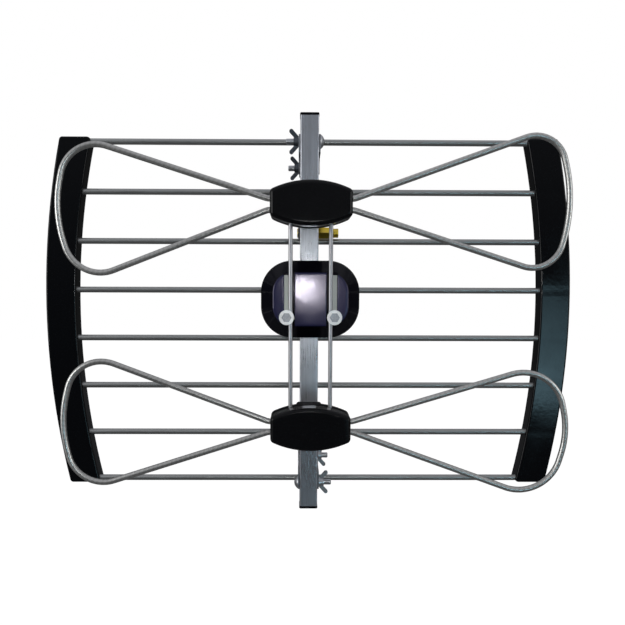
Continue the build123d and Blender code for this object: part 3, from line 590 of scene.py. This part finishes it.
GOLD = drawn_metal("gold_plate", dark=(0.68, 0.47, 0.04), light=(0.88, 0.66, 0.11),
                   lines=1500.0, roughness=0.30, depth=0.00001, stretch=(0.1, 1.0, 1.0))
dress(GOLD, "connector_body")
dress(ZINC, "connector_nut")


# Mast clamps: jaws pressed from steel sheet, drawn together round the mast by carriage bolts
# with wing nuts, all plated. The upper wing nuts get a darker copy of the plating, as painted shade.

for clamp in ("upper", "lower"):
    dress(CLAMP_STEEL, f"clamp_jaw_{clamp}_left", f"clamp_jaw_{clamp}_right")
    for place in ("front", "rear"):
        dress(ZINC, f"clamp_bolt_{clamp}_{place}")
dress(ZINC, "wing_nut_lower_front", "wing_nut_lower_rear")
# painted shade: a darker copy of the plated finish, used for the upper wing nuts only
SHADED_ZINC = drawn_metal("dark_zinc", dark=(0.05, 0.06, 0.07), light=(0.13, 0.14, 0.16),
                        lines=700.0, roughness=0.38, depth=0.00002)
dress(SHADED_ZINC, "wing_nut_upper_front", "wing_nut_upper_rear")


# Threads: one helical ridge on each clamp bolt, along the end that its wing nut runs on, and a
# finer one round the connector's barrel, where a cable's nut screws on.

RIDGE_SHARE, RIDGE_SIDES, STEPS_PER_TURN = 0.4, 4, 26


def helical_thread():
    """A ridge wound along the x axis from a foot, a little proud of the round that carries it."""
    tree, start, end = grower("helical thread", [
        ("Diameter", "NodeSocketFloat"), ("Pitch", "NodeSocketFloat"), ("Length", "NodeSocketFloat"),
        ("Proud", "NodeSocketFloat"), ("Foot", "NodeSocketVector"),
    ])
    take = start.outputs
    helix = add(tree, "GeometryNodeCurveSpiral")
    crest = maths(tree, "ADD", maths(tree, "MULTIPLY", take["Diameter"], 0.5), take["Proud"])
    core = maths(tree, "SUBTRACT", crest, maths(tree, "MULTIPLY", take["Pitch"], RIDGE_SHARE))
    wire(tree, STEPS_PER_TURN, helix, "Resolution")
    wire(tree, maths(tree, "DIVIDE", take["Length"], take["Pitch"]), helix, "Rotations")
    wire(tree, core, helix, "Start Radius")
    wire(tree, core, helix, "End Radius")
    wire(tree, take["Length"], helix, "Height")
    upright = add(tree, "GeometryNodeSetCurveNormal", mode="Z_UP")
    wire(tree, helix.outputs[0], upright, "Curve")
    ridge = add(tree, "GeometryNodeCurvePrimitiveCircle")
    wire(tree, RIDGE_SIDES, ridge, "Resolution")
    wire(tree, maths(tree, "MULTIPLY", take["Pitch"], RIDGE_SHARE), ridge, "Radius")
    cutter = add(tree, "GeometryNodeCurveToMesh")
    wire(tree, upright.outputs[0], cutter, "Curve")
    wire(tree, ridge.outputs[0], cutter, "Profile Curve")
    wire(tree, True, cutter, "Fill Caps")
    set_in_place = add(tree, "GeometryNodeTransform")
    wire(tree, cutter.outputs[0], set_in_place, "Geometry")
    wire(tree, take["Foot"], set_in_place, "Translation")
    wire(tree, (0.0, pi / 2, 0.0), set_in_place, "Rotation")
    closing(tree, set_in_place.outputs[0], start, end)
    return tree


THREAD = helical_thread()
BOLT_DIAMETER, BOLT_THREAD, BOLT_PITCH, BOLT_PROUD = 5.9 * MM, 15.0 * MM, 1.0 * MM, 0.12 * MM
for clamp in ("upper", "lower"):
    for place in ("front", "rear"):
        node = f"clamp_bolt_{clamp}_{place}"
        tip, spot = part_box(node)[0].x, middle(node)
        thread = grown(THREAD, f"bolt_thread_{clamp}_{place}", Diameter=BOLT_DIAMETER, Pitch=BOLT_PITCH,
                       Length=BOLT_THREAD, Proud=BOLT_PROUD, Foot=(tip + BOLT_PITCH, spot.y, spot.z),
                       Finish=ZINC)
        stands_for(thread, "zinc_steel")
BARREL_DIAMETER, BARREL_THREAD, BARREL_PITCH, BARREL_PROUD = 9.4 * MM, 7.0 * MM, 0.8 * MM, 0.1 * MM
tip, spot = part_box("connector_body")[1].x, middle("connector_body")
thread = grown(THREAD, "connector_thread", Diameter=BARREL_DIAMETER, Pitch=BARREL_PITCH,
               Length=BARREL_THREAD, Proud=BARREL_PROUD,
               Foot=(tip - BARREL_THREAD - BARREL_PITCH, spot.y, spot.z), Finish=GOLD)
stands_for(thread, "gold_plate")


# Studio floor: a wide pale sheet well below the antenna, which hangs where its mast holds it.
# The camera sees it white, and what light it gives back to the object is dim.

FLOOR_LEVEL = -0.6
FLOOR_SIDE, FLOOR_NEAR, FLOOR_FAR = 8.0, -0.5, 8.0
FLOOR_GREY, FLOOR_GLOW, GLOSS_SHARE = 0.16, 0.95, 0.03


def backdrop_rays(tree):
    """1 for the rays that see the backdrop: all of the camera's, and a share of a gloss's."""
    paths = add(tree, "ShaderNodeLightPath")
    seen, passed = paths.outputs["Is Camera Ray"], paths.outputs["Is Transmission Ray"]
    clear = maths(tree, "ADD", seen, passed, clamp=True)
    gloss = maths(tree, "MULTIPLY", paths.outputs["Is Glossy Ray"], GLOSS_SHARE)
    return maths(tree, "ADD", clear, gloss, clamp=True)


floor_mesh = bpy.data.meshes.new("floor")
near = [(-FLOOR_SIDE, FLOOR_NEAR, FLOOR_LEVEL), (FLOOR_SIDE, FLOOR_NEAR, FLOOR_LEVEL)]
far = [(FLOOR_SIDE, FLOOR_FAR, FLOOR_LEVEL), (-FLOOR_SIDE, FLOOR_FAR, FLOOR_LEVEL)]
floor_mesh.from_pydata(near + far, [], [(0, 1, 2, 3)])
floor = bpy.data.objects.new("floor", floor_mesh)
bpy.context.scene.collection.objects.link(floor)
floor_paint = bpy.data.materials.new("pale_floor")
floor_paint.use_nodes = True
tree = floor_paint.node_tree
tree.nodes.clear()
out = add(tree, "ShaderNodeOutputMaterial")
matt, lit = add(tree, "ShaderNodeBsdfDiffuse"), add(tree, "ShaderNodeEmission")
wire(tree, (FLOOR_GREY, FLOOR_GREY, FLOOR_GREY, 1), matt, "Color")
wire(tree, maths(tree, "MULTIPLY", backdrop_rays(tree), FLOOR_GLOW), lit, "Strength")
both = add(tree, "ShaderNodeAddShader")
wire(tree, matt.outputs[0], both, 0)
wire(tree, lit.outputs[0], both, 1)
wire(tree, both.outputs[0], out, "Surface")
floor_mesh.materials.append(floor_paint)


# Studio light by direction: pale panels to the left and right, a soft glow from above, a dark
# room behind and a cool window low on the right, which a few bare twigs cross. Gloss black stays
# dark in it, and metal keeps its contrast.

ROOM_LEVELS = [(0.0, 0.12), (0.30, 0.07), (0.46, 0.05), (0.52, 0.10), (0.62, 0.26), (0.75, 0.40), (1.0, 0.55)]
ROOM_TINT = (0.97, 0.98, 1.05)
PANEL_COLOUR, BEHIND_COLOUR = (0.80, 0.81, 0.84, 1), (0.02, 0.02, 0.02, 1)
LEFT_PANEL, RIGHT_PANEL = 0.75, 0.45
WINDOW_COLOUR = (4.6, 8.0, 9.6, 1)
WINDOW_LEFT, WINDOW_RIGHT, FRAME_WIDTH = radians(14), radians(26), radians(2)


def overlap(tree, first, second):
    """A mask that is 1 only where both masks are."""
    return maths(tree, "MULTIPLY", first, second)


def window_pane(tree, heading, x, y, z):
    """A bright patch between two headings and two heights, broken by twigs, brighter below."""
    azimuth = maths(tree, "ARCTAN2", x, maths(tree, "MULTIPLY", y, -1.0))
    sides = overlap(tree, span(tree, azimuth, WINDOW_LEFT, WINDOW_LEFT + FRAME_WIDTH),
                    span(tree, azimuth, WINDOW_RIGHT, WINDOW_RIGHT - FRAME_WIDTH))
    height = overlap(tree, span(tree, z, -0.17, -0.14), span(tree, z, 0.02, -0.01))
    pane = overlap(tree, overlap(tree, sides, height), span(tree, z, 0.0, -0.13, 0.35, 1.0))
    waves = noise(tree, scaled(tree, heading, (1.0, 1.0, 1.6)), 27.0, 1.0)
    twigs = span(tree, maths(tree, "ABSOLUTE", maths(tree, "SUBTRACT", waves, 0.5)), 0.008, 0.05)
    return overlap(tree, pane, twigs)


def studio():
    """The world: what the object mirrors in each direction, and white where the camera looks."""
    world = bpy.data.worlds.new("studio")
    bpy.context.scene.world = world
    world.use_nodes = True
    tree = world.node_tree
    tree.nodes.clear()
    out = add(tree, "ShaderNodeOutputWorld")
    heading = add(tree, "ShaderNodeTexCoord").outputs["Generated"]
    axes = add(tree, "ShaderNodeSeparateXYZ")
    wire(tree, heading, axes, 0)
    x, y, z = axes.outputs
    rise = add(tree, "ShaderNodeValToRGB")
    ramp = rise.color_ramp
    while len(ramp.elements) < len(ROOM_LEVELS):
        ramp.elements.new(0.5)
    for stop, (where, level) in zip(ramp.elements, ROOM_LEVELS):
        stop.position = where
        stop.color = (*(level * tint for tint in ROOM_TINT), 1)
    wire(tree, span(tree, z, -1.0, 1.0), rise, "Fac")
    left = maths(tree, "MULTIPLY", span(tree, x, -0.55, -0.95), LEFT_PANEL)
    right = maths(tree, "MULTIPLY", span(tree, x, 0.55, 0.95), RIGHT_PANEL)
    room = blended(tree, maths(tree, "MAXIMUM", left, right), rise.outputs["Color"], PANEL_COLOUR)
    behind = overlap(tree, span(tree, y, 0.0, 0.5), span(tree, z, 0.7, 0.2))
    room = blended(tree, behind, room, BEHIND_COLOUR)
    room = blended(tree, window_pane(tree, heading, x, y, z), room, WINDOW_COLOUR)
    glow = add(tree, "ShaderNodeBackground")
    wire(tree, blended(tree, backdrop_rays(tree), room, (1, 1, 1, 1)), glow, "Color")
    wire(tree, glow.outputs[0], out, "Surface")


studio()


# Lamps: a broad soft box above and to the left, a weaker one to the right, and a small lamp
# beside the camera, whose mirror image is the white patch on the housing's face.

def lamp(name, place, target, width, height, watts):
    light = bpy.data.lights.new(name, "AREA")
    light.shape = "RECTANGLE"
    light.size, light.size_y, light.energy = width, height, watts
    holder = bpy.data.objects.new(name, light)
    bpy.context.scene.collection.objects.link(holder)
    holder.location = place
    holder.rotation_euler = (Vector(target) - Vector(place)).to_track_quat("-Z", "Y").to_euler()
    holder.visible_camera = False


BOOM_MIDDLE = (0, 0, 0)
PATCH_X, PATCH_Z = 0.005, 0.029
lamp("soft_box_left", (-1.8, ROD_PLANE - 1.1, 0.25), BOOM_MIDDLE, width=0.9, height=0.9, watts=11.0)
lamp("soft_box_right", (1.9, ROD_PLANE - 1.0, 0.30), BOOM_MIDDLE, width=0.7, height=0.9, watts=6.0)
lamp("camera_lamp", (PATCH_X, ROD_PLANE - 0.74, PATCH_Z), (PATCH_X, 0, PATCH_Z),
     width=0.038, height=0.030, watts=0.28)


# Camera: it stands where the photograph was taken from, nearly level with the balun housing and a
# little to the left of the boom. PITCH, YAW and ROLL are how far it looks down and leans.

CAMERA_REACH = 0.7354
CAMERA_X, CAMERA_Z = -0.01305, 0.02378
PITCH, YAW, ROLL = radians(6.065), radians(-0.545), radians(0.170)
LENS, SENSOR_WIDTH = 39.67, 36.0
SHIFT_X, SHIFT_Z = 0.01525, 0.08378
across = Vector((cos(YAW), sin(YAW), 0))
ahead = Vector((-sin(YAW), cos(YAW), 0))
upward = Vector((0, 0, 1))
forward = cos(PITCH) * ahead - sin(PITCH) * upward
level_up = sin(PITCH) * ahead + cos(PITCH) * upward
right = cos(ROLL) * across + sin(ROLL) * level_up
up = -sin(ROLL) * across + cos(ROLL) * level_up
camera = bpy.data.objects.new("camera", bpy.data.cameras.new("camera"))
bpy.context.scene.collection.objects.link(camera)
camera.data.lens = LENS
camera.data.sensor_width = SENSOR_WIDTH
camera.data.shift_x, camera.data.shift_y = SHIFT_X, SHIFT_Z
camera.data.clip_start, camera.data.clip_end = 0.01, 60.0
turn = Matrix((right, up, -forward)).transposed().to_4x4()
camera.matrix_world = Matrix.Translation((CAMERA_X, ROD_PLANE - CAMERA_REACH, CAMERA_Z)) @ turn
bpy.context.scene.camera = camera
bpy.context.scene.view_settings.view_transform = "Standard"
